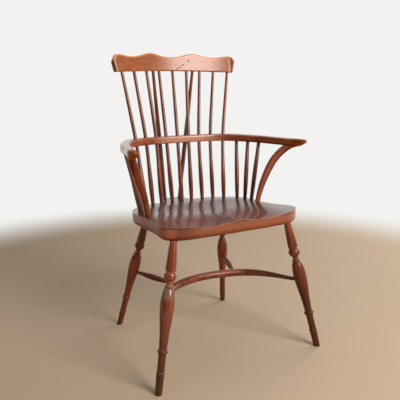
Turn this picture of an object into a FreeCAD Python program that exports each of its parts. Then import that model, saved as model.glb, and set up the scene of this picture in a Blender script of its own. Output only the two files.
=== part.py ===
# Windsor armchair: turned legs, a sculpted seat, an arm bow on bent crooks, and a comb on long spindles.
# Frame: origin on the floor under the middle of the chair, +Z up, -Y to the front.
# Left is -X, seen from the front.
import FreeCAD, Part
import math
import os
import Sketcher
from FreeCAD import Placement, Rotation, Vector

doc = FreeCAD.newDocument("windsor_chair")
UP = Vector(0, 0, 1)
ACROSS = Vector(1, 0, 0)
SIDES = (("left", -1), ("right", 1))

# Driving sizes, in millimetres
SIZES = {
    # Fits: the gap around every tenon, and how far a cutting shape runs past what it cuts
    "fit_gap": 0.2,
    "overrun": 8.0,
    # Seat plank: height of its underside at the middle, and how far it reaches from the origin
    "seat_underside": 402.0,
    "seat_thickness": 41.5,
    "seat_half_width": 252.0,
    "seat_front": 209.0,
    "seat_back": 182.0,
    "seat_under_round": 19.0,
    "bobtail_half_width": 44.0,
    "bobtail_back": 248.5,
    # Saddle: its own half width and reach, its depth, and the thigh scoops beside the front ridge
    "saddle_half_width": 196.0,
    "saddle_front": 270.0,
    "saddle_back": 128.0,
    "saddle_depth": 13.0,
    "scoop_depth": 6.5,
    "scoop_spread": 108.0,
    "scoop_width": 58.0,
    "ridge_width": 30.0,
    # Front legs: how far the top stands in from the seat's side and front,
    # and how far the foot stands out from the top
    "front_top_inset": 53.5,
    "front_top_setback": 39.2,
    "front_splay": 86.5,
    "front_rake": 68.2,
    "front_vase_radius": 20.0,
    # Back legs, in the same way from the seat's side and back
    "back_top_inset": 104.9,
    "back_top_setback": 51.1,
    "back_splay": 67.7,
    "back_rake": 99.2,
    "back_vase_radius": 18.3,
    "leg_tenon": 24.0,
    # Hoop stretcher between the front legs: its bend is a little fuller on the left
    "hoop_height": 224.0,
    "hoop_depth": 176.5,
    "hoop_shift": 15.0,
    "hoop_radius": 12.0,
    # Spur stretchers from the back legs to the hoop
    "spur_height": 208.0,
    "spur_hoop_left": 125.0,
    "spur_hoop_right": 88.0,
    "spur_radius": 9.6,
    "spur_tenon_radius": 4.8,
    # Arm bow: a flat bow, its underside height and its outline
    "bow_underside": 635.5,
    "bow_thickness": 24.0,
    "bow_half_span": 300.0,
    "bow_back": 204.0,
    "bow_front": 139.0,
    "bow_width": 34.0,
    "bow_edge_round": 6.0,
    "nose_cut_start": 101.0,
    # Arm crooks: foot on the seat, in from its side, and reach forward to the arm end
    "crook_foot_inset": 51.6,
    "crook_foot_y": 6.0,
    "crook_foot_drop": 2.5,
    "crook_forward": 106.0,
    "crook_radius": 12.2,
    "crook_tenon": 22.0,
    # Pegs through the arm ends into the crooks
    "peg_radius": 4.0,
    "peg_depth": 11.0,
    # Spindles under the arms and in the back: their row in from the seat's side and back,
    # and below its thickness
    "spindle_foot_drop": 7.5,
    "spindle_seat_inset": 52.5,
    "spindle_seat_setback": 26.5,
    "spindle_tenon": 20.0,
    "spindle_swell_radius": 7.7,
    "spindle_end_radius": 5.9,
    "spindle_bend": 60.0,
    "spindle_top_radius": 4.9,
    "short_spindle_tenon": 14.0,
    # Braces from the bobtail to the comb
    "brace_foot_inset": 16.0,
    "brace_foot_setback": 17.5,
    "brace_foot_drop": 12.5,
    # Comb rail: a curved board that leans back, and sits a little to the left
    "comb_shift": 4.0,
    "comb_underside": 872.8,
    "comb_centre_y": 219.0,
    "comb_curve_radius": 570.0,
    "comb_thickness": 20.0,
    "comb_half_length": 222.0,
    "comb_height": 59.3,
    "comb_end_reach": 217.5,
    "comb_tenon": 24.0,
    "comb_edge_round": 3.5,
    "brace_tenon": 12.0,
    "comb_spindle_x": 196.0,
    "comb_brace_x": 74.0,
}
# Angles in degrees: the seat falls to the back, the comb leans back and flares at its ends,
# and the underside of each arm end rises to its tip
SEAT_TILT = 2.9
COMB_LEAN = 9.2
COMB_FLARE = 11.0
NOSE_RISE = 27.0
SEAT_FALL = math.tan(math.radians(SEAT_TILT))
# Sizes that follow from others, so that legs, crooks and spindles keep to the seat and the bow
DERIVED = {
    "front_top_x": "seat_half_width - front_top_inset",
    "front_top_y": "seat_front - front_top_setback",
    "front_top_height": "seat_underside + front_top_y * %s" % SEAT_FALL,
    "front_foot_x": "front_top_x + front_splay",
    "front_foot_y": "front_top_y + front_rake",
    "back_top_x": "seat_half_width - back_top_inset",
    "back_top_y": "seat_back - back_top_setback",
    "back_top_height": "seat_underside - back_top_y * %s" % SEAT_FALL,
    "back_foot_x": "back_top_x + back_splay",
    "back_foot_y": "back_top_y + back_rake",
    "crook_foot_x": "seat_half_width - crook_foot_inset",
    "crook_foot_height": "seat_underside + seat_thickness - crook_foot_drop",
    "crook_out": "bow_half_span - crook_foot_x",
    "spindle_seat_x": "seat_half_width - spindle_seat_inset",
    "spindle_seat_y": "seat_back - spindle_seat_setback",
    "spindle_seat_height": "seat_underside + seat_thickness - spindle_foot_drop",
    "brace_foot_x": "bobtail_half_width - brace_foot_inset",
    "brace_foot_y": "bobtail_back - brace_foot_setback",
    "brace_foot_height": "seat_underside + seat_thickness - brace_foot_drop",
}

sheet = doc.addObject("Spreadsheet::Sheet", "Sizes")
cells = [(alias, str(number)) for alias, number in SIZES.items()]
cells += [(alias, "=" + formula) for alias, formula in DERIVED.items()]
for row, (alias, content) in enumerate(cells, start=1):
    sheet.set("A%d" % row, alias)
    sheet.set("B%d" % row, content)
    sheet.setAlias("B%d" % row, alias)
    doc.recompute()


# Helpers for reading sizes and for directions

def size(alias):
    return float(getattr(sheet, alias))


def value(expression):
    return float(sheet.evalExpression(expression))


def of(alias, share=1.0):
    return "Sizes.%s * %s" % (alias, share)


def toward(start, end):
    return (end - start).normalize()


def aimed(point, direction):
    return Placement(point, Rotation(UP, direction))


def mirrored(point, side):
    return Vector(side * point.x, point.y, point.z)


def at_height(start, end, height):
    return start + (end - start) * ((height - start.z) / (end.z - start.z))


# Helpers for sketches: every corner of an outline is pinned by two sizes from the sheet

def origin_part(body, role):
    return [item for item in body.Origin.OriginFeatures if item.Role == role][0]


def new_sketch(body, name, role):
    sketch = body.newObject("Sketcher::SketchObject", name)
    sketch.AttachmentSupport = [(origin_part(body, role), "")]
    sketch.MapMode = "FlatFace"
    return sketch


def flat_point(pair):
    return Vector(value(pair[0]), value(pair[1]), 0)


def pin(sketch, geometry, end, pair):
    for kind, expression in zip(("DistanceX", "DistanceY"), pair):
        index = sketch.addConstraint(Sketcher.Constraint(kind, -1, 1, geometry, end, value(expression)))
        sketch.setExpression("Constraints[%d]" % index, expression)


def step_curve(here, step):
    """A line to the step's only point, an arc through its two, or a smooth curve through more."""
    points = [flat_point(pair) for pair in [here] + list(step)]
    if len(points) == 2:
        return Part.LineSegment(*points)
    if len(points) == 3:
        return Part.Arc(*points)
    curve = Part.BSplineCurve()
    curve.interpolate(points)
    return curve


def draw_outline(sketch, start, steps):
    """A closed outline from start along steps: lines, three-point arcs and smooth curves."""
    here = start
    joints = []
    for step in steps:
        geometry = sketch.addGeometry(step_curve(here, step))
        first = sketch.getPoint(geometry, 1)
        backwards = first.distanceToPoint(flat_point(step[-1])) < first.distanceToPoint(flat_point(here))
        head, tail = (2, 1) if backwards else (1, 2)
        if len(step) == 2:
            middle = sketch.addGeometry(Part.Point(flat_point(step[0])), True)
            pin(sketch, middle, 1, step[0])
            sketch.addConstraint(Sketcher.Constraint("PointOnObject", middle, 1, geometry))
        if joints:
            sketch.addConstraint(Sketcher.Constraint("Coincident", *joints[-1], geometry, head))
            pin(sketch, geometry, head, here)
        else:
            opening = (geometry, head)
        joints.append((geometry, tail))
        here = step[-1]
    sketch.addConstraint(Sketcher.Constraint("Coincident", *joints[-1], *opening))
    pin(sketch, *opening, start)


def turned(name, start, steps):
    """A turned piece: its half profile in (radius, length) revolved about its own Z axis."""
    body = doc.addObject("PartDesign::Body", name)
    sketch = new_sketch(body, name + "_profile", "XZ_Plane")
    draw_outline(sketch, start, steps)
    revolution = body.newObject("PartDesign::Revolution", name + "_turning")
    revolution.Profile = sketch
    revolution.ReferenceAxis = (sketch, ["V_Axis"])
    revolution.Angle = 360
    body.Tip = revolution
    return body


def cut(name, base, tools):
    """The base less all the tools, as one object."""
    tool = tools[0]
    if len(tools) > 1:
        tool = doc.addObject("Part::MultiFuse", name + "_sockets")
        tool.Shapes = tools
    result = doc.addObject("Part::Cut", name)
    result.Base = base
    result.Tool = tool
    return result


def socket(name, radius, depth, mouth, direction):
    """A round socket that runs from past its mouth to its depth, along the direction into the wood."""
    hole = doc.addObject("Part::Cylinder", name)
    hole.setExpression("Radius", "%s + Sizes.fit_gap" % radius)
    hole.setExpression("Height", "%s + Sizes.overrun + Sizes.fit_gap" % depth)
    hole.Placement = aimed(mouth - direction * size("overrun"), direction)
    return hole


def round_loft(name, stations, reference, smooth):
    """A bent round piece through circles: each station is (centre, direction, radius expression)."""
    circles = []
    for number, (centre, direction, radius) in enumerate(stations):
        circle = doc.addObject("Part::Circle", "%s_section_%d" % (name, number))
        circle.setExpression("Radius", radius)
        circle.Placement = Placement(centre, Rotation(reference, Vector(), direction, "ZXY"))
        circles.append(circle)
    loft = doc.addObject("Part::Loft", name)
    loft.Sections = circles
    loft.Solid = True
    loft.Ruled = not smooth
    return loft


def route_directions(points):
    """The direction of a route at each of its points, from the points beside it."""
    last = len(points) - 1
    return [toward(points[max(i - 1, 0)], points[min(i + 1, last)]) for i in range(len(points))]


OUTLINE_PIECES = 16


def smooth_wire(points):
    """A smooth closed outline through points, in pieces short enough to round over well."""
    curve = Part.BSplineCurve()
    curve.interpolate(Points=points, PeriodicFlag=True)
    first, last = curve.FirstParameter, curve.LastParameter
    marks = [first + (last - first) * number / OUTLINE_PIECES for number in range(OUTLINE_PIECES + 1)]
    return Part.Wire([curve.toShape(start, end) for start, end in zip(marks, marks[1:])])


def level_edges(shape):
    """The edges of a flat plank that run around its top and underside."""
    return [edge for edge in shape.Edges if edge.BoundBox.ZLength < size("fit_gap")]


made = []


def finish(label, item):
    item.Label = label
    made.append(item)
    return item


# Where things stand: the seat's top and underside at a given y, and the lines of the legs and spindles

def seat_under(y):
    return size("seat_underside") - y * SEAT_FALL


def seat_top(y):
    return seat_under(y) + size("seat_thickness") / math.cos(math.radians(SEAT_TILT))


FRONT_FOOT = Vector(size("front_foot_x"), -size("front_foot_y"), 0)
FRONT_TOP = Vector(size("front_top_x"), -size("front_top_y"), size("front_top_height"))
BACK_FOOT = Vector(size("back_foot_x"), size("back_foot_y"), 0)
BACK_TOP = Vector(size("back_top_x"), size("back_top_y"), size("back_top_height"))
HOOP_END = at_height(FRONT_FOOT, FRONT_TOP, size("hoop_height"))
SPUR_BACK = at_height(BACK_FOOT, BACK_TOP, size("spur_height"))
COMB_UP = Vector(0, math.sin(math.radians(COMB_LEAN)), math.cos(math.radians(COMB_LEAN)))


def comb_middle(x):
    """A point on the underside of the comb, in the middle of its thickness."""
    radius = size("comb_curve_radius")
    sag = radius - math.sqrt(radius ** 2 - x ** 2)
    return Vector(x, size("comb_centre_y") - sag, size("comb_underside"))


# Long spindles: places on the seat and in the bow, as shares of the named spans, from the middle outwards
LONG_SEAT_SHARES = ((0.0, 1.0), (0.186, 1.0), (0.395, 0.986), (0.58, 0.915), (0.745, 0.79))
LONG_BOW_SHARES = ((0.0, 0.909), (0.141, 0.907), (0.267, 0.894), (0.403, 0.852), (0.543, 0.778))
LONG_COMB_SHARES = (0.0, 0.262, 0.508, 0.755, 1.0)


MIDDLE_SPINDLE = len(LONG_SEAT_SHARES)
LONG_SPINDLES = range(1, 2 * MIDDLE_SPINDLE)


def long_spindle_line(number):
    """The three points of a long spindle: on the seat, in the middle of the bow, and at the comb."""
    place = number - MIDDLE_SPINDLE
    side = -1 if place < 0 else 1
    seat_x_share, seat_y_share = LONG_SEAT_SHARES[abs(place)]
    bow_x_share, bow_y_share = LONG_BOW_SHARES[abs(place)]
    foot = Vector(size("spindle_seat_x") * seat_x_share, size("spindle_seat_y") * seat_y_share,
                  size("spindle_seat_height"))
    middle = Vector(size("bow_half_span") * bow_x_share, size("bow_back") * bow_y_share,
                    size("bow_underside") + size("bow_thickness") / 2)
    top = comb_middle(size("comb_spindle_x") * LONG_COMB_SHARES[abs(place)])
    return [mirrored(point, side) for point in (foot, middle, top)]


# Short spindles: (seat x, seat y) and (bow x, bow y) shares, from the back to the crook
SHORT_SEAT_SHARES = ((0.925, 0.59), (0.985, 0.395), (1.008, 0.19))
SHORT_BOW_SHARES = ((0.676, 0.635), (0.75, 0.45), (0.816, 0.268))


SHORT_SPINDLES = range(1, len(SHORT_SEAT_SHARES) + 1)


def short_spindle_line(number, side):
    """The two points of a short spindle: on the seat and at the bow's underside."""
    seat_x_share, seat_y_share = SHORT_SEAT_SHARES[number - 1]
    bow_x_share, bow_y_share = SHORT_BOW_SHARES[number - 1]
    y = size("spindle_seat_y") * seat_y_share
    foot = Vector(size("spindle_seat_x") * seat_x_share, y, seat_top(y))
    top = Vector(size("bow_half_span") * bow_x_share, size("bow_back") * bow_y_share, size("bow_underside"))
    return [mirrored(point, side) for point in (foot, top)]


def brace_line(side):
    foot = Vector(size("brace_foot_x"), size("brace_foot_y"), size("brace_foot_height"))
    return [mirrored(point, side) for point in (foot, comb_middle(size("comb_brace_x")))]


# Hoop stretcher route: (x, depth, radius) shares from the middle to the leg
HOOP_SHARES = ((0.0, 1.0, 1.0), (0.15, 0.988, 1.0), (0.32, 0.94, 1.0), (0.49, 0.855, 0.97),
               (0.645, 0.715, 0.9), (0.755, 0.553, 0.78), (0.83, 0.39, 0.64), (0.895, 0.22, 0.54),
               (0.95, 0.09, 0.5), (1.0, -0.02, 0.5))


def hoop_route():
    halves = [[(Vector(side * HOOP_END.x * x_share - size("hoop_shift") * (1 - x_share ** 2),
                       HOOP_END.y + size("hoop_depth") * y_share, HOOP_END.z), radius_share)
               for x_share, y_share, radius_share in HOOP_SHARES] for side_name, side in SIDES]
    return halves[0][:0:-1] + halves[1]


def spur_end(side_name, side):
    return hoop_point(side * size("spur_hoop_" + side_name))


def hoop_point(x):
    """The point of the hoop's axis that lies at x."""
    points = [point for point, share in hoop_route()]
    for near, far in zip(points, points[1:]):
        if near.x <= x <= far.x:
            return near + (far - near) * ((x - near.x) / (far.x - near.x))


def make_hoop(name, gap):
    route = hoop_route()
    directions = route_directions([point for point, share in route])
    stations = [(point, direction, of("hoop_radius", share) + gap)
                for (point, share), direction in zip(route, directions)]
    return round_loft(name, stations, UP, True)


# Arm crook route: (height, out, forward, radius) shares from the foot to the arm end
CROOK_SHARES = ((0.0, 0.0, 0.0, 0.6), (0.2, 0.079, 0.03, 0.74), (0.4, 0.187, 0.08, 0.86),
                (0.6, 0.335, 0.145, 0.98), (0.75, 0.462, 0.23, 1.0), (0.86, 0.581, 0.345, 1.0),
                (0.95, 0.694, 0.49, 0.97), (1.015, 0.797, 0.7, 0.8), (1.045, 0.866, 0.93, 0.5))


def crook_route(side):
    rise = size("bow_underside") - size("crook_foot_height")
    foot = Vector(size("crook_foot_x"), -size("crook_foot_y"), size("crook_foot_height"))
    route = [(foot + Vector(size("crook_out") * out_share, -size("crook_forward") * forward_share,
                            rise * height_share), radius_share)
             for height_share, out_share, forward_share, radius_share in CROOK_SHARES]
    down = toward(route[1][0], route[0][0])
    route.insert(0, (foot + down * size("crook_tenon"), CROOK_SHARES[0][3]))
    return [(mirrored(point, side), share) for point, share in route]


# Leg profile from foot to seat as (radius, height) shares of the vase radius and the leg length
LEG_TOP_SHARE = 0.52
LEG_FOOT_SHARE = 0.48
LEG_STEP_SHARES = (
    ((0.57, 0.105),), ((0.535, 0.127),), ((0.63, 0.135), (0.535, 0.143)), ((0.55, 0.252),), ((0.55, 0.266),),
    ((0.76, 0.278), (0.56, 0.29)), ((0.62, 0.35), (0.72, 0.42)), ((0.9, 0.492), (1.0, 0.56)),
    ((0.985, 0.622), (0.74, 0.685)), ((0.52, 0.692),), ((0.64, 0.703), (0.46, 0.714)), ((0.44, 0.724),),
    ((0.47, 0.734),), ((0.89, 0.767), (0.62, 0.798)), ((0.78, 0.808),), ((0.68, 0.9), (LEG_TOP_SHARE, 1.0)))

# Seat: outline of half the plank from the middle of the front to the bobtail, as (x, y) shares.
# The left front corner is cut further in than the right one.
SEAT_RIGHT_SHARES = ((0.0, -1.0), (0.3, -0.998), (0.58, -0.985), (0.77, -0.945), (0.905, -0.84),
                     (0.98, -0.68), (0.96, -0.54), (0.908, -0.4), (0.869, -0.22), (0.86, 0.0))
SEAT_LEFT_SHARES = ((0.0, -1.0), (0.3, -0.998), (0.58, -0.985), (0.75, -0.95), (0.865, -0.862),
                    (0.915, -0.745), (0.907, -0.61), (0.885, -0.42), (0.873, -0.2), (0.876, 0.0))
SEAT_BACK_SHARES = ((0.87, 0.2), (0.855, 0.42), (0.8, 0.6), (0.705, 0.75), (0.56, 0.875), (0.38, 0.96))
# Bobtail: x as a share of its half width, y as a share of the way from the seat's back to its own
TAIL_SHARES = ((1.25, 0.015), (1.0, 0.3), (0.93, 0.65), (0.62, 0.95), (0.0, 1.0))


def seat_outline():
    """The closed edge of the seat plank: a smooth body and a bobtail with rounded corners."""
    half_width = size("seat_half_width")
    tail = size("bobtail_half_width")
    back = size("seat_back")
    tail_length = size("bobtail_back") - back
    back_points = [Vector(half_width * x_share, back * y_share, 0) for x_share, y_share in SEAT_BACK_SHARES]
    back_points += [Vector(tail * x_share, back + tail_length * y_share, 0)
                    for x_share, y_share in TAIL_SHARES]
    halves = [[Vector(half_width * x_share, size("seat_front") * y_share, 0) for x_share, y_share in shares]
              + back_points for shares in (SEAT_RIGHT_SHARES, SEAT_LEFT_SHARES)]
    return smooth_wire(halves[0] + [mirrored(point, -1) for point in reversed(halves[1][1:-1])])


def fade(number):
    number = min(max(number, 0.0), 1.0)
    return number * number * (3 - 2 * number)


# Saddle: how square its plan is, how steeply its edge falls, and the grid its surface runs through
PLAN_POWER = 3
EDGE_POWER = 1.3
SADDLE_COLUMNS = 32
SADDLE_ROWS = 28


def saddle_drop(x, y):
    """How far the saddle lies below the plank's top face: a dished hollow, a front ridge and two scoops."""
    reach = size("saddle_front") if y < 0 else size("saddle_back")
    spread = abs(x / size("saddle_half_width")) ** PLAN_POWER + abs(y / reach) ** PLAN_POWER
    dish = size("saddle_depth") * max(0.0, 1 - spread ** (2 / PLAN_POWER)) ** EDGE_POWER
    front = fade(-y / size("seat_front"))
    ridge = math.exp(-(x / size("ridge_width")) ** 2) * front
    scoop = math.exp(-((abs(x) - size("scoop_spread")) / size("scoop_width")) ** 2) * front
    return dish * (1 - ridge) + size("scoop_depth") * scoop * (1 - ridge)


def saddle_cutter():
    """The solid that lies above the saddle's surface, wide enough to pass the plank on every side."""
    half_x = size("seat_half_width") + size("overrun")
    low_y = -size("seat_front") - size("overrun")
    high_y = size("bobtail_back") + size("overrun")
    grid = []
    for column in range(SADDLE_COLUMNS + 1):
        x = half_x * (2 * column / SADDLE_COLUMNS - 1)
        line = []
        for row in range(SADDLE_ROWS + 1):
            y = low_y + (high_y - low_y) * row / SADDLE_ROWS
            line.append(Vector(x, y, size("seat_thickness") - saddle_drop(x, y)))
        grid.append(line)
    surface = Part.BSplineSurface()
    surface.interpolate(grid)
    return surface.toShape().extrude(UP * size("seat_thickness"))


def make_seat_blank():
    plank = Part.Face(seat_outline()).extrude(UP * (size("seat_thickness") + size("overrun")))
    under_edges = [edge for edge in level_edges(plank) if edge.BoundBox.ZMax < size("fit_gap")]
    plank = plank.makeFillet(size("seat_under_round"), under_edges)
    blank = doc.addObject("Part::Feature", "seat_plank")
    blank.Shape = plank.cut(saddle_cutter())
    blank.Placement = Placement(Vector(0, 0, size("seat_underside")), Rotation(ACROSS, -SEAT_TILT))
    return blank


def make_seat():
    sockets = []
    for side_name, side in SIDES:
        for name, foot, top, radius in (("front", FRONT_FOOT, FRONT_TOP, "front_vase_radius"),
                                        ("back", BACK_FOOT, BACK_TOP, "back_vase_radius")):
            direction = toward(mirrored(foot, side), mirrored(top, side))
            sockets.append(socket("seat_socket_leg_%s_%s" % (name, side_name), of(radius, LEG_TOP_SHARE),
                                  "Sizes.leg_tenon", mirrored(top, side), direction))
        for number in SHORT_SPINDLES:
            foot, top = short_spindle_line(number, side)
            sockets.append(socket("seat_socket_short_%s_%d" % (side_name, number), "Sizes.spindle_end_radius",
                                  "Sizes.spindle_tenon", foot, toward(top, foot)))
        foot, top = brace_line(side)
        sockets.append(socket("seat_socket_brace_" + side_name, "Sizes.spindle_end_radius",
                              "Sizes.spindle_tenon", foot, toward(top, foot)))
        points = [point for point, share in crook_route(side)]
        sockets.append(socket("seat_socket_crook_" + side_name, of("crook_radius", CROOK_SHARES[0][3]),
                              "Sizes.crook_tenon", points[1], toward(points[1], points[0])))
    for number in LONG_SPINDLES:
        foot, middle, top = long_spindle_line(number)
        sockets.append(socket("seat_socket_long_%d" % number, "Sizes.spindle_end_radius",
                              "Sizes.spindle_tenon", foot, toward(middle, foot)))
    finish("seat", cut("seat", make_seat_blank(), sockets))


def make_leg(name, side_name, side, prefix, foot, top, other_tools):
    """A turned leg with a tapered top, trimmed flat on the floor and socketed for its stretcher."""
    foot = mirrored(foot, side)
    top = mirrored(top, side)
    length = ("sqrt((Sizes.{0}_foot_x - Sizes.{0}_top_x)^2 + (Sizes.{0}_foot_y - Sizes.{0}_top_y)^2"
              " + Sizes.{0}_top_height^2)").format(prefix)
    radius = "%s_vase_radius" % prefix

    def corner(shares):
        return (of(radius, shares[0]), "%s * %s" % (length, shares[1]))

    sole = (of(radius, LEG_FOOT_SHARE), "-Sizes.overrun")
    steps = [tuple(corner(shares) for shares in step) for step in LEG_STEP_SHARES]
    steps += [((of(radius, LEG_TOP_SHARE), "%s + Sizes.leg_tenon" % length),),
              (("0", "%s + Sizes.leg_tenon" % length),), (("0", "-Sizes.overrun"),), (sole,)]
    body = turned("leg_%s_%s_turned" % (name, side_name), sole, steps)
    body.Placement = aimed(foot, toward(foot, top))
    finish("leg_%s_%s" % (name, side_name), cut("leg_%s_%s" % (name, side_name), body, other_tools))


FLOOR_LENGTH = "2 * (Sizes.front_foot_x + Sizes.front_vase_radius + Sizes.overrun)"
FLOOR_WIDTH = "2 * (Sizes.front_foot_y + Sizes.front_vase_radius + Sizes.overrun)"
FLOOR_DEPTH = "3 * Sizes.overrun"


def make_floor_block():
    """What lies below the floor, to trim the feet flat."""
    block = doc.addObject("Part::Box", "floor_block")
    block.setExpression("Length", FLOOR_LENGTH)
    block.setExpression("Width", FLOOR_WIDTH)
    block.setExpression("Height", FLOOR_DEPTH)
    corner = Vector(-value(FLOOR_LENGTH) / 2, -value(FLOOR_WIDTH) / 2, -value(FLOOR_DEPTH))
    block.Placement = Placement(corner, Rotation())
    return block


# Sticks swell from both ends to a thicker place: (place along the stick, part of the swell) shares
SWELL_SHARES = ((0.0, 0.0), (0.12, 0.45), (0.24, 0.8), (0.4, 1.0), (0.56, 0.86), (0.72, 0.55),
                (0.86, 0.25), (1.0, 0.0))
SPUR_SHARES = ((0.0, 0.0), (0.09, 0.0), (0.2, 0.25), (0.34, 0.72), (0.48, 1.0), (0.6, 0.88), (0.72, 0.5),
               (0.84, 0.12), (0.91, 0.0), (1.0, 0.0))
BEND_STEPS = 6


def swollen(thin, thick, share):
    return "Sizes.{0} + (Sizes.{1} - Sizes.{0}) * {2}".format(thin, thick, share)


def swell_stations(start, end, thin, thick, shares):
    direction = toward(start, end)
    return [(start + (end - start) * place, direction, swollen(thin, thick, swell))
            for place, swell in shares]


def make_spur(name, side_name, side):
    """A short stretcher, thickest in the middle, from the back leg's axis to the hoop's axis."""
    start = mirrored(SPUR_BACK, side)
    stations = swell_stations(start, spur_end(side_name, side), "spur_tenon_radius", "spur_radius",
                              SPUR_SHARES)
    return round_loft(name, stations, ACROSS, False)


def spur_socket(name, side_name, side, at_hoop):
    """The socket for one end of a spur stretcher, mouth outside the wood and bottom at the tenon's end."""
    ends = [mirrored(SPUR_BACK, side), spur_end(side_name, side)]
    if not at_hoop:
        ends.reverse()
    direction = toward(ends[0], ends[1])
    depth = 2 * size("spur_radius")
    mouth = ends[1] - direction * depth
    return socket(name, "Sizes.spur_tenon_radius", "2 * Sizes.spur_radius", mouth, direction)


def make_short_spindle(name, number, side):
    foot, top = short_spindle_line(number, side)
    direction = toward(foot, top)
    stations = swell_stations(foot, top, "spindle_end_radius", "spindle_swell_radius", SWELL_SHARES)
    stations.insert(0, (foot - direction * size("spindle_tenon"), direction, "Sizes.spindle_end_radius"))
    stations.append((top + direction * size("short_spindle_tenon"), direction, "Sizes.spindle_end_radius"))
    return round_loft(name, stations, ACROSS, False)


def make_brace(name, side):
    foot, top = brace_line(side)
    direction = toward(foot, top)
    stations = swell_stations(foot, top, "spindle_top_radius", "spindle_swell_radius", SWELL_SHARES[1:])
    stations.insert(0, (foot, direction, "Sizes.spindle_end_radius"))
    stations.insert(0, (foot - direction * size("spindle_tenon"), direction, "Sizes.spindle_end_radius"))
    stations.append((top + direction * size("brace_tenon"), direction, "Sizes.spindle_top_radius"))
    return round_loft(name, stations, ACROSS, False)


def make_long_spindle(name, number, gap=""):
    """Straight from the seat nearly to the bow, a gentle bend through it, then straight to the comb."""
    foot, middle, top = long_spindle_line(number)
    low = toward(foot, middle)
    high = toward(middle, top)
    bend_start = middle - low * size("spindle_bend")
    bend_end = middle + high * size("spindle_bend")
    stations = swell_stations(foot, bend_start, "spindle_end_radius", "spindle_swell_radius",
                              SWELL_SHARES[:-1])
    stations.insert(0, (foot - low * size("spindle_tenon"), low, "Sizes.spindle_end_radius"))
    for step in range(BEND_STEPS + 1):
        part = step / BEND_STEPS
        point = bend_start * (1 - part) ** 2 + middle * (2 * part * (1 - part)) + bend_end * part ** 2
        direction = (low * (1 - part) + high * part).normalize()
        stations.append((point, direction, "Sizes.spindle_end_radius"))
    stations.append((top, high, "Sizes.spindle_top_radius"))
    stations.append((top + high * size("comb_tenon"), high, "Sizes.spindle_top_radius"))
    stations = [(point, direction, radius + gap) for point, direction, radius in stations]
    return round_loft(name, stations, ACROSS, False)


# Arm bow: outer edge of the right half as (x, y) shares of the half span and of the back reach,
# each with the way across the bow to the inner edge as (x, y) shares of its width
BOW_EDGE_SHARES = ((0.0, 1.0, 0.0, 1.0), (0.207, 0.993, 0.06, 1.0), (0.404, 0.965, 0.15, 0.99),
                   (0.549, 0.895, 0.38, 0.925), (0.655, 0.789, 0.64, 0.75), (0.739, 0.64, 0.8, 0.53),
                   (0.805, 0.46, 0.84, 0.4), (0.871, 0.255, 0.82, 0.38), (0.905, 0.048, 0.77, 0.38))
# Arm end from the outside round the nose to the inside: in from the half span as a share of the bow's width,
# and y as a share of the front reach
BOW_NOSE_SHARES = ((0.52, -0.288), (0.238, -0.545), (0.062, -0.755), (0.035, -0.88), (0.159, -0.97),
                   (0.397, -0.975), (0.6, -0.885), (0.768, -0.735), (1.041, -0.48), (1.332, -0.24))


def bow_outline():
    half_span = size("bow_half_span")
    back = size("bow_back")
    width = size("bow_width")
    outer = [Vector(half_span * x_share, back * y_share, 0)
             for x_share, y_share, across, along in BOW_EDGE_SHARES]
    ways = [Vector(width * across, width * along, 0)
            for x_share, y_share, across, along in BOW_EDGE_SHARES]
    nose = [Vector(half_span - width * inset, size("bow_front") * y_share, 0)
            for inset, y_share in BOW_NOSE_SHARES]
    inner = [point - way for point, way in zip(outer, ways)]
    right = outer + nose + inner[::-1]
    left = [mirrored(point, -1) for point in reversed(right)][1:-1]
    return smooth_wire(list(reversed(right + left)))


def nose_cut(name):
    """The wood taken off below both arm ends, so that their undersides rise to the tips."""
    block = doc.addObject("Part::Box", name)
    block.setExpression("Length", "2 * (Sizes.bow_half_span + Sizes.overrun)")
    block.setExpression("Width", "Sizes.bow_front + Sizes.overrun")
    block.setExpression("Height", "Sizes.bow_front")
    corner = Vector(-size("bow_half_span") - size("overrun"), -size("bow_front"), -size("bow_front"))
    start = Vector(0, -size("nose_cut_start"), size("bow_underside"))
    block.Placement = Placement(start, Rotation(ACROSS, -NOSE_RISE)) * Placement(corner, Rotation())
    return block


def make_bow_blank():
    bow = Part.Face(bow_outline()).extrude(UP * size("bow_thickness"))
    blank = doc.addObject("Part::Feature", "bow_blank")
    blank.Shape = bow.makeFillet(size("bow_edge_round"), level_edges(bow))
    blank.Placement = Placement(UP * size("bow_underside"), Rotation())
    return blank


# Pegs: in from the half span as a share of the bow's width, and y as a share of the front reach
PEG_SHARES = (0.724, -0.446)


def peg_foot(side):
    return Vector(side * (size("bow_half_span") - size("bow_width") * PEG_SHARES[0]),
                  size("bow_front") * PEG_SHARES[1], size("bow_underside") - size("peg_depth"))


def peg_hole(name, side):
    hole = doc.addObject("Part::Cylinder", name)
    hole.setExpression("Radius", "Sizes.peg_radius + Sizes.fit_gap")
    hole.setExpression("Height", "Sizes.peg_depth + Sizes.bow_thickness + Sizes.overrun")
    hole.Placement = Placement(peg_foot(side) - UP * size("fit_gap"), Rotation())
    return hole


def make_pegs():
    pegs = []
    for side_name, side in SIDES:
        peg = doc.addObject("Part::Cylinder", "arm_peg_" + side_name)
        peg.setExpression("Radius", "Sizes.peg_radius")
        peg.setExpression("Height", "Sizes.peg_depth + Sizes.bow_thickness")
        peg.Placement = Placement(peg_foot(side), Rotation())
        pegs.append(peg)
    group = doc.addObject("Part::Compound", "arm_pegs")
    group.Links = pegs
    finish("arm_pegs", group)


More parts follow.
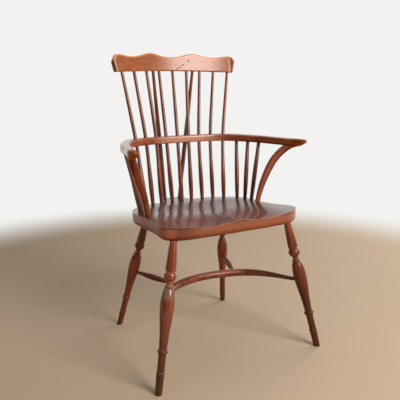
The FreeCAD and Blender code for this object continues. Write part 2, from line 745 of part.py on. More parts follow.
def make_bow():
    tools = [make_long_spindle("bow_hole_long_%d" % number, number, " + Sizes.fit_gap")
             for number in LONG_SPINDLES]
    for side_name, side in SIDES:
        for number in SHORT_SPINDLES:
            foot, top = short_spindle_line(number, side)
            tools.append(socket("bow_socket_%s_%d" % (side_name, number), "Sizes.spindle_end_radius",
                                "Sizes.short_spindle_tenon", top, toward(foot, top)))
        tools.append(peg_hole("bow_peg_hole_" + side_name, side))
    tools.append(nose_cut("bow_nose_cut"))
    finish("arm_bow", cut("arm_bow", make_bow_blank(), tools))


def make_crook(name, side_name, side):
    """A bent round support, cut level under the bow and bored for its peg."""
    route = crook_route(side)
    directions = route_directions([point for point, share in route])
    directions[0] = directions[1] = toward(route[0][0], route[1][0])
    reference = Vector(size("crook_forward"), side * size("crook_out"), 0)
    stations = [(point, direction, of("crook_radius", share))
                for (point, share), direction in zip(route, directions)]
    bent = round_loft("crook_bent_" + side_name, stations, reference, True)
    block = doc.addObject("Part::Box", "crook_top_block_" + side_name)
    block.setExpression("Length", "2 * Sizes.bow_half_span")
    block.setExpression("Width", "2 * Sizes.bow_front")
    block.setExpression("Height", "2 * Sizes.bow_thickness")
    block.Placement = Placement(Vector(-size("bow_half_span"), -2 * size("bow_front"), size("bow_underside")),
                                Rotation())
    tools = [block, peg_hole("crook_peg_hole_" + side_name, side), nose_cut("crook_nose_cut_" + side_name)]
    finish(name, cut(name, bent, tools))


# Comb: ends and wavy upper edge of its right half as seen from the front, in (x, height) shares
COMB_EDGE_SHARES = ((1.05, -0.09), (1.035, 0.3), (1.0, 0.6), (0.965, 0.79), (0.9, 0.855), (0.8, 0.8),
                    (0.665, 0.76), (0.53, 0.83), (0.43, 0.93), (0.355, 0.97), (0.28, 0.935), (0.16, 0.82),
                    (0.0, 0.765))


def comb_point(shares, side):
    return (of("comb_half_length", side * shares[0]), of("comb_height", shares[1]))


def make_comb_elevation():
    """The comb as seen from the front, padded right through."""
    body = doc.addObject("PartDesign::Body", "comb_elevation")
    sketch = new_sketch(body, "comb_outline", "XZ_Plane")
    right = [comb_point(shares, 1) for shares in COMB_EDGE_SHARES]
    left = [comb_point(shares, -1) for shares in COMB_EDGE_SHARES]
    upper = right + left[-2::-1]
    draw_outline(sketch, right[0], [upper[1:], (("0", "0"), right[0])])
    pad = body.newObject("PartDesign::Pad", "comb_elevation_pad")
    pad.Profile = sketch
    pad.setExpression("Length", "2 * Sizes.bobtail_back")
    pad.Reversed = True
    body.Tip = pad
    body.Placement = Placement(UP * size("comb_underside") - ACROSS * size("comb_shift"), Rotation())
    return body


def make_comb_board():
    """The curved board that the comb is cut from, as a ring sector raised along the comb's lean."""
    body = doc.addObject("PartDesign::Body", "comb_board")
    sketch = new_sketch(body, "comb_plan", "XY_Plane")
    half = "(Sizes.comb_half_length + Sizes.comb_shift + 2 * Sizes.overrun)"

    def plan_point(side, outward):
        radius = "(Sizes.comb_curve_radius %s Sizes.comb_thickness / 2)" % outward
        if side == 0:
            return ("0", "Sizes.comb_centre_y - Sizes.comb_curve_radius + %s" % radius)
        return ("%d * %s" % (side, half),
                "Sizes.comb_centre_y - Sizes.comb_curve_radius + sqrt(%s^2 - %s^2)" % (radius, half))

    draw_outline(sketch, plan_point(1, "-"),
                 [(plan_point(1, "+"),), (plan_point(0, "+"), plan_point(-1, "+")), (plan_point(-1, "-"),),
                  (plan_point(0, "-"), plan_point(1, "-"))])
    pad = body.newObject("PartDesign::Pad", "comb_board_pad")
    pad.Profile = sketch
    pad.UseCustomVector = True
    pad.Direction = COMB_UP
    pad.setExpression("Length", "Sizes.comb_height + 3 * Sizes.overrun")
    body.Tip = pad
    start = UP * size("comb_underside") - COMB_UP * size("overrun")
    body.Placement = Placement(start, Rotation())
    return body


def comb_end_cut(side_name, side):
    """What lies past one end of the comb: the end is square to the curved board and flares upwards."""
    end = comb_middle(side * size("comb_end_reach") - size("comb_shift"))
    turn = math.degrees(math.asin(end.x / size("comb_curve_radius")))
    block = doc.addObject("Part::Box", "comb_end_cut_" + side_name)
    block.setExpression("Length", "4 * Sizes.overrun")
    block.setExpression("Width", "4 * Sizes.comb_thickness")
    block.setExpression("Height", "4 * Sizes.comb_height")
    inner_edge = 0 if side > 0 else -4 * size("overrun")
    corner = Vector(inner_edge, -2 * size("comb_thickness"), -2 * size("comb_height"))
    turned_out = Rotation(UP, -turn)
    leaned = Rotation(ACROSS, -COMB_LEAN)
    flared = Rotation(Vector(0, 1, 0), side * COMB_FLARE)
    block.Placement = Placement(end, turned_out * leaned * flared) * Placement(corner, Rotation())
    return block


def make_comb():
    board = doc.addObject("Part::Common", "comb_sawn")
    board.Base = make_comb_board()
    board.Tool = make_comb_elevation()
    trimmed = cut("comb_trimmed", board, [comb_end_cut(side_name, side) for side_name, side in SIDES])
    doc.recompute()
    rounded = doc.addObject("Part::Fillet", "comb_rounded")
    rounded.Base = trimmed
    round_off = size("comb_edge_round")
    rounded.Edges = [(number, round_off, round_off) for number in range(1, len(trimmed.Shape.Edges) + 1)]
    sockets = []
    for number in LONG_SPINDLES:
        foot, middle, top = long_spindle_line(number)
        sockets.append(socket("comb_socket_%d" % number, "Sizes.spindle_top_radius", "Sizes.comb_tenon", top,
                              toward(middle, top)))
    for side_name, side in SIDES:
        foot, top = brace_line(side)
        sockets.append(socket("comb_socket_brace_" + side_name, "Sizes.spindle_top_radius",
                              "Sizes.brace_tenon", top, toward(foot, top)))
    finish("comb_rail", cut("comb_rail", rounded, sockets))


def make_hoop_stretcher():
    sockets = [spur_socket("hoop_socket_" + side_name, side_name, side, True) for side_name, side in SIDES]
    finish("crinoline_stretcher", cut("crinoline_stretcher", make_hoop("hoop_bent", ""), sockets))


# The whole chair

floor_block = make_floor_block()
make_seat()
for side_name, side in SIDES:
    hoop_tool = make_hoop("leg_socket_hoop_" + side_name, " + Sizes.fit_gap")
    make_leg("front", side_name, side, "front", FRONT_FOOT, FRONT_TOP, [floor_block, hoop_tool])
    spur_tool = spur_socket("leg_socket_spur_" + side_name, side_name, side, False)
    make_leg("back", side_name, side, "back", BACK_FOOT, BACK_TOP, [floor_block, spur_tool])
make_hoop_stretcher()
make_bow()
make_pegs()
make_comb()
for side_name, side in SIDES:
    finish("spur_stretcher_" + side_name, make_spur("spur_stretcher_" + side_name, side_name, side))
    make_crook("arm_crook_" + side_name, side_name, side)
    finish("brace_spindle_" + side_name, make_brace("brace_spindle_" + side_name, side))
    for number in SHORT_SPINDLES:
        name = "short_spindle_%s_%d" % (side_name, number)
        finish(name, make_short_spindle(name, number, side))
for number in LONG_SPINDLES:
    finish("long_spindle_%d" % number, make_long_spindle("long_spindle_%d" % number, number))
doc.recompute()

# Every object has to be sound before anything is written
for item in doc.Objects:
    if "Invalid" in item.State or "Error" in item.State:
        raise RuntimeError("%s failed: %s" % (item.Name, item.State))
for item in made:
    if item.Shape.isNull() or not item.Shape.isValid():
        raise RuntimeError("%s has no valid shape" % item.Label)

os.makedirs("parts", exist_ok=True)
for item in made:
    item.Shape.exportStep("parts/%s.step" % item.Label)
    print("%-26s solids %d  volume %.0f" % (item.Label, len(item.Shape.Solids), item.Shape.Volume))
spans = [item.Shape.optimalBoundingBox(False) for item in made]
print("nodes", len(made), "x", min(box.XMin for box in spans), max(box.XMax for box in spans))
print("y", min(box.YMin for box in spans), max(box.YMax for box in spans))
print("z", min(box.ZMin for box in spans), max(box.ZMax for box in spans))
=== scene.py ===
# Windsor armchair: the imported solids, dressed as old stained and polished wood.
# Metres, +Z up, the sitter faces -Y. Left is -X, seen from the front.
import math
from collections import namedtuple

import bpy
from mathutils import Euler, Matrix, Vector

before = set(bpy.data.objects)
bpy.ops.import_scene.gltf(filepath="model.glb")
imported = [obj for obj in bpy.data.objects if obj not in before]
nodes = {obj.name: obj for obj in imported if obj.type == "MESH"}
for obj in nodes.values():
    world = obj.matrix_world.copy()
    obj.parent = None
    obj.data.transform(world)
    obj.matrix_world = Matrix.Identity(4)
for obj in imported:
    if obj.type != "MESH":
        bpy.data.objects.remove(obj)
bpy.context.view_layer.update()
scene = bpy.context.scene

MM = 0.001
X, Y, Z = 0, 1, 2
UP = Vector((0, 0, 1))
ACROSS = Vector((1, 0, 0))
FORWARD = Vector((0, -1, 0))
LEFT_FRONT = Vector((-0.9, -0.4, 0))
LEFT_SIDE = Vector((-1, -0.3, 0))
LEFT_FRONT_UP = Vector((-0.8, -0.6, 0.3))
SIDES = (("left", -1), ("right", 1))


# Nodes

# Each kind: node type, settings, the inputs that are given in order, and the output that is handed back.
# Where that is None, the node itself is handed back.
KINDS = {
    "place": ("TexCoord", {}, (), "Object"),
    "true normal": ("NewGeometry", {}, (), "Normal"),
    "rounded normal": ("Bevel", {"samples": 6}, ("Radius",), 0),
    "open air": ("AmbientOcclusion", {"samples": 6}, ("Distance",), "AO"),
    "ray": ("LightPath", {}, (), None),
    "split": ("SeparateXYZ", {}, (0,), None),
    "join": ("CombineXYZ", {}, (X, Y, Z), 0),
    "sum": ("Math", {"operation": "ADD"}, (0, 1), 0),
    "product": ("Math", {"operation": "MULTIPLY"}, (0, 1), 0),
    "larger": ("Math", {"operation": "MAXIMUM"}, (0, 1), 0),
    "sign": ("Math", {"operation": "SIGN"}, (0,), 0),
    "amount": ("Math", {"operation": "ABSOLUTE"}, (0,), 0),
    "angle": ("Math", {"operation": "ARCTAN2"}, (0, 1), 0),
    "shifted": ("VectorMath", {"operation": "ADD"}, (0, 1), 0),
    "scaled": ("VectorMath", {"operation": "MULTIPLY"}, (0, 1), 0),
    "alike": ("VectorMath", {"operation": "DOT_PRODUCT"}, (0, 1), "Value"),
    "length": ("VectorMath", {"operation": "LENGTH"}, (0,), "Value"),
    "distance": ("VectorMath", {"operation": "DISTANCE"}, (0, 1), "Value"),
    "turned": ("Mapping", {"vector_type": "POINT"}, ("Vector", "Rotation"), 0),
    "noise": ("TexNoise", {}, ("Vector", "Scale", "Detail", "Roughness", "Distortion"), "Fac"),
    # A number eased from a start to an end, or else from 0 to 1: source, low, high, start, end
    "eased": ("MapRange", {"interpolation_type": "SMOOTHSTEP"}, (0, 1, 2, 3, 4), 0),
    # One colour over another: share, under, over
    "stained": ("Mix", {"data_type": "RGBA"}, (0, 6, 7), 2),
    "bump": ("Bump", {}, ("Strength", "Distance", "Height"), 0),
    "waxed wood": ("BsdfPrincipled", {},
                   ("Base Color", "Roughness", "IOR", "Specular Tint", "Specular IOR Level",
                    "Coat Weight", "Coat Roughness", "Coat IOR", "Normal"), 0),
    "matt surface": ("BsdfPrincipled", {}, ("Base Color", "Roughness"), 0),
    "glow": ("Emission", {}, ("Color", "Strength"), 0),
    "sky": ("Background", {}, ("Color", "Strength"), 0),
    "either": ("MixShader", {}, (0, 1, 2), 0),
    "surface": ("OutputMaterial", {}, ("Surface",), None),
    "surroundings": ("OutputWorld", {}, ("Surface",), None),
}


def add(tree, kind, *sources):
    """Adds a node with its settings. Each source is a value or a link, in the order that the kind gives.
    Inputs for which there is no source keep their own value."""
    node_type, settings, inputs, output = KINDS[kind]
    item = tree.nodes.new("ShaderNode" + node_type)
    for name, setting in settings.items():
        setattr(item, name, setting)
    for name, source in zip(inputs, sources):
        if isinstance(source, bpy.types.NodeSocket):
            tree.links.new(source, item.inputs[name])
        else:
            item.inputs[name].default_value = source
    return item if output is None else item.outputs[output]


def linear(hex_colour):
    """An sRGB hex colour as linear red, green and blue with full opacity."""
    parts = [int(hex_colour[start:start + 2], 16) / 255 for start in (1, 3, 5)]
    return tuple(part / 12.92 if part <= 0.04045 else ((part + 0.055) / 1.055) ** 2.4
                 for part in parts) + (1.0,)


def bare_material(name):
    """A material with no nodes yet."""
    material = bpy.data.materials.new(name)
    material.use_nodes = True
    material.node_tree.nodes.clear()
    return material


# Grain space: its third axis runs along the wood's fibres, in metres

def straight(axis):
    """Fibres along one straight line, as in a turned leg or a sawn plank."""
    turn = Vector(axis).normalized().rotation_difference(UP).to_euler()

    def fibres(tree, place):
        return add(tree, "turned", place, turn)
    return fibres


def bent(centre_y, radius):
    """Fibres that follow a bend in plan about an upright axis, as in wood steamed round a former."""
    def fibres(tree, place):
        parts = add(tree, "split", place).outputs
        depth = add(tree, "sum", parts[Y], -centre_y)
        turn = add(tree, "angle", parts[X], depth)
        reach = add(tree, "length", add(tree, "join", parts[X], depth))
        return add(tree, "join", reach, parts[Z], add(tree, "product", turn, radius))
    return fibres


# Patterns, with real sizes in millimetres across and along the fibres. The streaks stand for bundles of
# pores: single pores are far finer than a pixel, so they are drawn this coarse.
Pattern = namedtuple("Pattern", "size_mm detail roughness distortion")
FIGURE = Pattern((9.0, 150.0), 3.0, 0.55, 0.6)
LONG_FIGURE = Pattern((9.0, 220.0), 3.0, 0.55, 0.6)
BROAD_FIGURE = Pattern((16.0, 260.0), 3.0, 0.55, 0.6)
STREAKS = Pattern((2.4, 70.0), 4.0, 0.65, 0.0)
PATCHES = Pattern((75.0, 75.0), 3.0, 0.6, 0.0)
TOOL_WAVES = Pattern((28.0, 28.0), 2.0, 0.55, 0.0)
# Each piece is cut from a place of its own in the tree: how its seed shifts the patterns along each axis
SEED_SHARES = (1.0, 0.7, 1.3)


def drawn(tree, space, pattern):
    """A pattern from nought to one, in a space that is first counted in grains, so that its scale is 1."""
    across, along_fibres = (1 / (size * MM) for size in pattern.size_mm)
    counted = add(tree, "scaled", space, (across, across, along_fibres))
    return add(tree, "noise", counted, 1.0, pattern.detail, pattern.roughness, pattern.distortion)


# How a number is eased: low, high, and what it gives at the two where that isn't 0 and 1
DARK_TO_MIDDLE = (0.33, 0.62)
MIDDLE_TO_LIGHT = (0.42, 0.72)
THICK_STAIN = (0.45, 0.72, 0.0, 0.45)
ARRIS = (0.995, 0.93)
WITHIN_REACH = (0.45, 0.75)
RUBBED_IN_PLACES = (0.25, 0.55, 0.35, 1.0)
WAX_FROM_BELOW = (-0.75, 0.0, 0.15, 1.0)
BROKEN_BY_STREAKS = (0.2, 0.6, 0.7, 1.0)
JOINT = (0.62, 0.3)
DULL_BY_STREAKS = (0.3, 0.7)

WOOD_IOR = 1.5
WAX_IOR = 1.5
SPECULAR_LEVEL = 0.5
SHEEN = "#e7bd9f"
GRIME = "#1c0c08"
HOLLOW_MM = 14.0
WEAR = 0.75
# How much rougher the streaks, the worn arrises and the grime are than the wood round them
MATT_STREAKS = 0.12
MATT_ARRIS = 0.08
MATT_GRIME = 0.2
# The depth of the streaks and of the waves from the tools, as shares of the bump's own depth
STREAK_DEPTH = 0.5
WAVE_DEPTH = 1.2
BUMP_STRENGTH = 0.35
BUMP_MM = 0.35


def polished_wood(name, fibres_of, stains, seed, figure=FIGURE, grain=0.35, edge_mm=3.0, dirt=0.6,
                  gloss=0.42, coat=0.4, polish=0.22, marks=()):
    """Close-grained wood under red spirit stain and wax polish. The stain lies darker in joints and rubs off
    to warm bare wood along the arrises. The sheen is warm, because it comes partly from stained fibres. The
    undersides have little wax, because the polishing cloth doesn't reach them. Grain is the strength of the
    light streaks, and gloss and polish are the roughness of the wood and of the wax on it."""
    dark, middle, light, worn = (linear(stain) for stain in stains)
    material = bare_material(name)
    tree = material.node_tree
    place = add(tree, "place")
    offset = tuple(seed * share for share in SEED_SHARES)
    fibres = add(tree, "shifted", fibres_of(tree, place), offset)
    streaks = drawn(tree, fibres, STREAKS)
    patches = drawn(tree, add(tree, "shifted", place, offset), PATCHES)

    # The stain: the figure, the light streaks in it, and patches where the stain is thick
    share = add(tree, "eased", drawn(tree, fibres, figure), *DARK_TO_MIDDLE)
    colour = add(tree, "stained", share, dark, middle)
    share = add(tree, "product", add(tree, "eased", streaks, *MIDDLE_TO_LIGHT), grain)
    colour = add(tree, "stained", share, colour, light)
    colour = add(tree, "stained", add(tree, "eased", patches, *THICK_STAIN), colour, dark)

    # Worn arrises: where a rounded normal leaves the true one, broken up by the patches
    rounded = add(tree, "rounded normal", edge_mm * MM)
    open_air = add(tree, "open air", HOLLOW_MM * MM)
    arris = add(tree, "eased", add(tree, "alike", add(tree, "true normal"), rounded), *ARRIS)
    rubbed = add(tree, "product", arris, add(tree, "eased", open_air, *WITHIN_REACH))
    rubbed = add(tree, "product", rubbed, add(tree, "eased", patches, *RUBBED_IN_PLACES))
    colour = add(tree, "stained", add(tree, "product", rubbed, WEAR), colour, worn)

    # The marks, of use and of painted light and shade, one over the other, and the wax that they leave
    wax = add(tree, "eased", add(tree, "split", rounded).outputs[Z], *WAX_FROM_BELOW)
    broken = add(tree, "eased", streaks, *BROKEN_BY_STREAKS)
    for mark in marks:
        share = add(tree, "product", mark.where(tree, place, rounded), broken)
        colour = add(tree, "stained", add(tree, "product", share, mark.strength), colour, linear(mark.colour))
        wax = add(tree, "product", wax, add(tree, "eased", share, 0.0, 1.0, 1.0, 1.0 - mark.dulled))

    # Old wax and dirt in the joints
    grime = add(tree, "product", add(tree, "eased", open_air, *JOINT), dirt)
    colour = add(tree, "stained", grime, colour, linear(GRIME))

    # Rougher in the streaks, on worn arrises and in grime, and uneven from the tools
    rough = add(tree, "eased", streaks, *DULL_BY_STREAKS, gloss, gloss + MATT_STREAKS)
    rough = add(tree, "sum", rough, add(tree, "product", rubbed, MATT_ARRIS))
    rough = add(tree, "sum", rough, add(tree, "product", grime, MATT_GRIME))
    waves = add(tree, "product", drawn(tree, place, TOOL_WAVES), WAVE_DEPTH)
    height = add(tree, "sum", add(tree, "product", streaks, STREAK_DEPTH), waves)
    bump = add(tree, "bump", BUMP_STRENGTH, BUMP_MM * MM, height)
    specular = add(tree, "product", wax, SPECULAR_LEVEL)
    coating = add(tree, "product", wax, coat)
    wood = add(tree, "waxed wood", colour, rough, WOOD_IOR, linear(SHEEN), specular,
               coating, polish, WAX_IOR, bump)
    add(tree, "surface", wood)
    return material


# Marks of use, and marks of painted light and shade: where each lies, its colour, its strength, and the share
# of the wax that is gone there.
# Places are in metres on the standing chair.

Mark = namedtuple("Mark", "where colour strength dulled")
PAST_END = 0.4
UNDER_FLOOR = -0.2
NECK_TOP = 0.296
# Dark floor dirt, also used for painted shade on the right front leg and for a painted shadow on the hoop
SOOT_AND_SHADE = "#33251d"
# Pale grey of worn finish with a painted sheen, on the front legs' necks
GREY_WEAR_AND_SHEEN = "#766c65"
# Dark grey on the spindles' left front side, above and below the bow
DARK_GREY = "#4c4640"


def along(axis, low, high, soft):
    """A stretch of a piece from low to high on one axis, with soft ends."""
    def stretch(tree, place, rounded):
        number = add(tree, "split", place).outputs[axis]
        return add(tree, "product", add(tree, "eased", number, low - soft, low + soft),
                   add(tree, "eased", number, high + soft, high - soft))
    return stretch


def facing(direction, low, high):
    """Faces and arrises that look in a direction, from a little to fully."""
    def faces(tree, place, rounded):
        look = add(tree, "alike", rounded, direction.normalized())
        return add(tree, "eased", look, low, high)
    return faces


def outer_arris(start, soft=0.01, outward=(0.0, 0.25), forward=(0.55, 0.8)):
    """The front arrises at the two ends of a piece that runs across the chair, from start outwards."""
    def arrises(tree, place, rounded):
        across = add(tree, "split", place).outputs[X]
        look = add(tree, "split", rounded).outputs
        ends = add(tree, "eased", add(tree, "amount", across), start, start + soft)
        out = add(tree, "product", look[X], add(tree, "sign", across))
        front = add(tree, "product", look[Y], -1.0)
        turned = add(tree, "product", add(tree, "eased", out, *outward), add(tree, "eased", front, *forward))
        return add(tree, "product", ends, turned)
    return arrises


def spots(points, reach, core_share=0.4):
    """Round specks at points, each full in its core and gone at its reach."""
    def specks(tree, place, rounded):
        share = 0.0
        for point in points:
            gap = add(tree, "distance", place, point)
            speck = add(tree, "eased", gap, reach, reach * core_share)
            share = add(tree, "larger", share, speck)
        return share
    return specks


def overlap(first, *others):
    """Where all the places meet."""
    def shared(tree, place, rounded):
        share = first(tree, place, rounded)
        for where in others:
            share = add(tree, "product", share, where(tree, place, rounded))
        return share
    return shared


def foot_dirt_and_shade(height, strength, dulled):
    """Dark colour that climbs a leg from the floor to a height: dirt from the floor, and partly painted shade
    where it climbs high on the right front leg.
    """
    return Mark(along(Z, UNDER_FLOOR, height, 0.09), SOOT_AND_SHADE, strength, dulled)


def neck_wear_and_sheen(low):
    """A pale grey patch on a front leg's neck, from a height up to the ball: worn finish with a painted
    sheen.
    """
    return Mark(overlap(along(Z, low, NECK_TOP, 0.009), facing(LEFT_FRONT, -0.6, 0.3)), GREY_WEAR_AND_SHEEN, 0.5, 0.0)


# The right front leg is painted darker up to its ball, as painted shade, and the dirt on its foot climbs
# higher, partly as painted shade
FRONT_LEG_MARKS = {
    "left": (foot_dirt_and_shade(0.17, 0.82, 0.5), neck_wear_and_sheen(0.258)),
    "right": (foot_dirt_and_shade(0.24, 0.82, 0.5), neck_wear_and_sheen(0.284),
              Mark(along(Z, UNDER_FLOOR, 0.37, 0.03), "#4a2010", 0.5, 0.3)),
}
BACK_LEG_MARKS = (foot_dirt_and_shade(0.1, 0.5, 0.3),)
# The spurs are dull from end to end, because no cloth gets there
SPUR_MARKS = (Mark(along(Z, 0.1, 0.4, 0.01), "#8a4029", 0.4, 0.7),)
# The right crook is painted paler on its left, front and upper side: a painted highlight
CROOK_MARKS = {
    "left": (),
    "right": (Mark(facing(LEFT_FRONT_UP, 0.5, 0.95), "#bd7458", 0.45, 0.0),),
}
# The spindles are painted darker on their left front side, as painted shade, darker at their feet, and dark
# grey on that side above and below the bow
left_front_side = facing(LEFT_FRONT, -0.1, 0.6)
SPINDLE_MARKS = (
    Mark(facing(LEFT_FRONT, 0.4, 0.95), "#4f2013", 0.5, 0.3),
    Mark(along(Z, 0.38, 0.49, 0.06), "#2a1712", 0.6, 0.0),
    Mark(overlap(along(Z, 0.665, 0.705, 0.03), left_front_side), DARK_GREY, 0.55, 0.0),
    Mark(overlap(along(Z, 0.575, 0.63, 0.035), left_front_side), DARK_GREY, 0.45, 0.0),
)
# The hoop has a painted highlight along its top, and it is painted darker right of an upright line, as a
# painted shadow, with a thin dark line at that edge
HOOP_MARKS = (
    Mark(overlap(along(X, -0.06, 0.11, 0.03), facing(UP, 0.2, 0.7)), "#b97a62", 0.3, 0.0),
    Mark(along(X, 0.118, PAST_END, 0.002), SOOT_AND_SHADE, 0.5, 0.2),
    Mark(along(X, 0.1165, 0.1185, 0.0006), GRIME, 0.9, 0.8),
)
# The bow is rubbed pale where a back leans on it, and its tips are worn to dull warm wood by hands
BOW_MARKS = (
    Mark(overlap(along(X, -0.07, 0.12, 0.05), facing(FORWARD, 0.4, 0.8)), "#dcab90", 0.5, 0.0),
    Mark(along(Y, -0.2, -0.085, 0.02), "#954a1a", 0.85, 0.95),
)
# The comb has a worn top edge, pale arrises at both ends and a pale upright line near the right end, which
# are painted highlights, a dark end on the right, and four small dents
COMB_DENTS = ((0.0577, 0.2115, 0.9066), (0.0246, 0.2107, 0.8865), (0.0148, 0.2102, 0.8815),
              (0.0363, 0.2111, 0.8931))
COMB_MARKS = (
    Mark(facing(UP, 0.05, 0.4), "#d98442", 0.85, 0.0),
    Mark(outer_arris(0.185), "#efcbb6", 0.8, 0.0),
    Mark(overlap(along(X, 0.1965, 0.2015, 0.0015), along(Z, 0.8, 0.914, 0.008), facing(FORWARD, 0.3, 0.6)),
         "#e3b49c", 0.6, 0.0),
    Mark(along(X, 0.2035, PAST_END, 0.003), "#5e2f20", 0.7, 0.5),
    Mark(spots(COMB_DENTS, 0.0042), "#3a1a10", 1.0, 0.9),
)
# The seat has a front edge painted brighter, as painted light, a dark left front corner, the lower part of
# the front edge painted dark, as painted shade under its rounding, a rubbed front of the saddle, and a pale
# left edge
front_edge = facing(FORWARD, 0.35, 0.8)
edge_height = along(Z, 0.3, 0.447, 0.004)
SEAT_MARKS = (
    Mark(overlap(front_edge, edge_height), "#ac5b32", 0.5, 0.0),
    Mark(overlap(front_edge, along(X, -PAST_END, -0.15, 0.05)), "#4f2014", 0.55, 0.3),
    Mark(overlap(facing(FORWARD, 0.2, 0.6), along(Z, 0.3, 0.416, 0.012)), "#6a2c18", 0.5, 0.2),
    Mark(overlap(along(Y, -PAST_END, -0.02, 0.1), along(X, -PAST_END, 0.14, 0.08), facing(UP, 0.5, 0.9)),
         "#80402a", 0.5, 0.88),
    Mark(overlap(facing(LEFT_SIDE, 0.6, 0.9), edge_height), "#bd6c48", 0.7, 0.5),
)


# Finishes

# The lean of each piece from one end to the other: out to its side, back, and up
LEANS = {
    "front_leg": (0.0865, -0.068, -0.412),
    "back_leg": (0.0677, 0.099, -0.397),
    "spur": (-0.1, -0.2, 0.02),
    "crook": (0.35, -0.35, 1.0),
    "spindle": (0.0, 0.06, 1.0),
}
# The dark, middle and light of the figure, and the bare wood where it is worn
STAINS = {
    "front_leg": ("#672511", "#8e411e", "#b8612f", "#d8965f"),
    "back_leg": ("#5a2110", "#883c1b", "#a65228", "#bb794d"),
    "spur": ("#461a0c", "#75321a", "#944a28", "#b8785a"),
    "crook": ("#5f2815", "#854025", "#a45d3c", "#c98459"),
    "spindle": ("#5a2817", "#8b4629", "#b36d46", "#c98f6c"),
    "hoop": ("#4e1e10", "#7c381d", "#9e5334", "#bd8060"),
    "bow": ("#6c2c16", "#9c4c26", "#c0703f", "#d9935c"),
    "peg": ("#4a2010", "#7a4023", "#945a35", "#a9714c"),
    "comb": ("#662b19", "#8c4529", "#aa603e", "#d68d4c"),
    "seat": ("#2c0d06", "#571f0c", "#80391b", "#d39a70"),
}
SHORT_SPINDLES = (1, 2, 3)
LONG_SPINDLES = range(1, 10)


def leaning(piece, side=0):
    """Fibres that run with a piece's lean on its side of the chair."""
    out, back, up = LEANS[piece]
    return straight((side * out, back, up))


def dress(node, material):
    """Gives a solid its wood."""
    item = nodes[node]
    item.data.materials.clear()
    item.data.materials.append(material)


for side_name, side in SIDES:
    # Beech turned on a lathe: fine streaks that run with the leg, and a sharp line of light on each swell
    dress("leg_front_" + side_name,
          polished_wood("beech_turned_front_" + side_name, leaning("front_leg", side), STAINS["front_leg"],
                        seed=3.1 * side, gloss=0.36, coat=0.75, polish=0.13,
                        marks=FRONT_LEG_MARKS[side_name]))
    # The same beech at the back, with less polish, so that the light on it is broad and low
    dress("leg_back_" + side_name,
          polished_wood("beech_turned_back_" + side_name, leaning("back_leg", side), STAINS["back_leg"],
                        seed=5.3 * side, marks=BACK_LEG_MARKS))
    # The same beech with hardly any wax left: dull and evenly brown
    dress("spur_stretcher_" + side_name,
          polished_wood("beech_turned_spur_" + side_name, leaning("spur", side), STAINS["spur"],
                        seed=7.7 * side, coat=0.1, marks=SPUR_MARKS))
    # Ash bent by steam: open streaks that rise with the arm's support, under thin wax
    dress("arm_crook_" + side_name,
          polished_wood("ash_bent_crook_" + side_name, leaning("crook", side), STAINS["crook"],
                        seed=2.3 * side, coat=0.2, marks=CROOK_MARKS[side_name]))

# Ash shaved to round sticks: so thin that the grain hardly shows, and the wax gives each one a pale line
spindle = polished_wood("ash_shaved_spindle", leaning("spindle"), STAINS["spindle"], seed=1.9,
                        grain=0.2, dirt=0.4, coat=1.0, polish=0.15, marks=SPINDLE_MARKS)
for side_name, side in SIDES:
    dress("brace_spindle_" + side_name, spindle)
    for number in SHORT_SPINDLES:
        dress("short_spindle_%s_%d" % (side_name, number), spindle)
for number in LONG_SPINDLES:
    dress("long_spindle_%d" % number, spindle)

# Ash bent by steam: streaks that follow the hoop round
dress("crinoline_stretcher",
      polished_wood("ash_bent_hoop", bent(centre_y=-0.14, radius=0.23), STAINS["hoop"], seed=4.4,
                    marks=HOOP_MARKS))
# Ash bent by steam and polished by arms and backs: streaks that follow the bow, under the thickest wax
dress("arm_bow",
      polished_wood("ash_bent_arm_bow", bent(centre_y=-0.06, radius=0.27), STAINS["bow"], seed=6.2,
                    edge_mm=4.0, coat=1.0, polish=0.16, marks=BOW_MARKS))
# Oak split and whittled: upright fibres, darker than the bow
dress("arm_pegs", polished_wood("oak_peg", straight(UP), STAINS["peg"], seed=8.4))
# Beech sawn from a plank: long streaks from side to side, with wide soft arrises
dress("comb_rail",
      polished_wood("beech_sawn_comb", straight(ACROSS), STAINS["comb"], seed=9.3, figure=LONG_FIGURE,
                    grain=0.6, edge_mm=9.0, coat=0.9, marks=COMB_MARKS))
# Elm hollowed with an adze: broad figure from side to side, and a wax that mirrors the spindles
dress("seat",
      polished_wood("elm_adzed_seat", straight(ACROSS), STAINS["seat"], seed=10.9, figure=BROAD_FIGURE,
                    edge_mm=4.0, gloss=0.33, coat=0.78, polish=0.085, marks=SEAT_MARKS))


# Floor and flags

BACKDROP = "#f3f2f0"
FLOOR_PAINT = "#c4ad93"
FLOOR_ROUGHNESS = 0.85
FLOOR_HALF = 7.0
FLOOR_PALE_FROM = 1.35
FLOOR_PALE_TO = 2.0
FLAG_CLOTH = "#15110f"
FLAG_HEIGHT = 3.6
# Flags round the front, seen only in the polish: name, and the two ends on the floor
FLAGS = (("front_flag", (-3.4, -3.2), (1.2, -3.9)),
         ("left_flag", (-3.1, 2.4), (-3.4, -3.2)),
         ("right_flag", (1.2, -3.9), (3.9, -0.9)))


def seen_directly(tree):
    """One for what the camera sees itself, mirrored or through glass, and nought for light on the chair."""
    ray = add(tree, "ray").outputs
    return add(tree, "larger", add(tree, "larger", ray["Is Camera Ray"], ray["Is Glossy Ray"]),
               ray["Is Transmission Ray"])


def stand(name, corners, paint):
    """A flat studio surface that isn't part of the chair."""
    mesh = bpy.data.meshes.new(name)
    mesh.from_pydata(corners, [], [tuple(range(len(corners)))])
    mesh.materials.append(paint)
    surface = bpy.data.objects.new(name, mesh)
    scene.collection.objects.link(surface)
    return surface


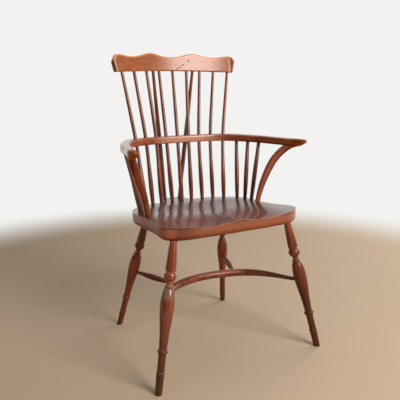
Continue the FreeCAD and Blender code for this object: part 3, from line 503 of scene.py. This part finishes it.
def floor_paint():
    """Pale matt paint near the chair, which goes over into the plain backdrop further out."""
    paint = bare_material("matt_floor_paint")
    tree = paint.node_tree
    away = add(tree, "length", add(tree, "place"))
    share = add(tree, "eased", away, FLOOR_PALE_FROM, FLOOR_PALE_TO)
    share = add(tree, "product", share, seen_directly(tree))
    chalky = add(tree, "matt surface", linear(FLOOR_PAINT), FLOOR_ROUGHNESS)
    add(tree, "surface", add(tree, "either", share, chalky, add(tree, "glow", linear(BACKDROP), 1.0)))
    return paint


def black_cloth():
    """Unlit black cloth: it gives the polish something dark to mirror."""
    cloth = bare_material("black_flag_cloth")
    tree = cloth.node_tree
    add(tree, "surface", add(tree, "matt surface", linear(FLAG_CLOTH), 1.0))
    return cloth


floor_corners = [(x * FLOOR_HALF, y * FLOOR_HALF, 0) for x, y in ((-1, -1), (1, -1), (1, 1), (-1, 1))]
stand("studio_floor", floor_corners, floor_paint())
for name, start, end in FLAGS:
    flag_corners = [(*start, 0.0), (*end, 0.0), (*end, FLAG_HEIGHT), (*start, FLAG_HEIGHT)]
    flag = stand(name, flag_corners, black_cloth())
    flag.visible_camera = False
    flag.visible_diffuse = False
    flag.visible_shadow = False


# Light and camera

AMBIENT = "#e9e7e4"
AMBIENT_STRENGTH = 0.14
# Soft boxes: name, place, what it points at, width, height, watts, colour
LAMPS = (
    ("front_window", (0.86, -2.8, 1.9), (0.05, 0.1, 0.75), 1.6, 1.7, 112.0, "#fffaf4"),
    ("right_window", (2.5, 0.6, 1.5), (0.0, 0.0, 0.5), 1.8, 2.0, 30.0, "#fffcf6"),
    ("left_fill", (-2.6, -0.9, 1.8), (0.0, 0.0, 0.5), 1.2, 1.6, 6.0, "#f4f7ff"),
    ("ceiling", (0.2, 0.5, 3.2), (0.0, 0.0, 0.4), 2.4, 2.4, 13.0, "#ffffff"),
)
# Camera: millimetres of its sensor and lens, its place, and degrees below level and right of straight back
SENSOR_MM = 36.0
LENS_MM = 48.78
CAMERA_PLACE = (-0.8474, -1.4575, 0.8501)
CAMERA_DOWN = 12.68
CAMERA_RIGHT = 29.65

world = bpy.data.worlds.new("studio")
scene.world = world
world.use_nodes = True
world.node_tree.nodes.clear()
ambient = add(world.node_tree, "sky", linear(AMBIENT), AMBIENT_STRENGTH)
plain_wall = add(world.node_tree, "sky", linear(BACKDROP), 1.0)
add(world.node_tree, "surroundings",
    add(world.node_tree, "either", seen_directly(world.node_tree), ambient, plain_wall))

for name, place, target, width, height, watts, colour in LAMPS:
    data = bpy.data.lights.new(name, "AREA")
    data.shape = "RECTANGLE"
    data.size = width
    data.size_y = height
    data.energy = watts
    data.color = linear(colour)[:3]
    lamp = bpy.data.objects.new(name, data)
    lamp.location = place
    lamp.rotation_euler = (Vector(target) - Vector(place)).to_track_quat("-Z", "Y").to_euler()
    scene.collection.objects.link(lamp)

camera_data = bpy.data.cameras.new("camera")
camera_data.sensor_width = SENSOR_MM
camera_data.sensor_fit = "HORIZONTAL"
camera_data.lens = LENS_MM
camera = bpy.data.objects.new("camera", camera_data)
camera.location = CAMERA_PLACE
camera.rotation_euler = Euler((math.radians(90 - CAMERA_DOWN), 0.0, -math.radians(CAMERA_RIGHT)))
scene.collection.objects.link(camera)
scene.camera = camera
scene.view_settings.view_transform = "Standard"
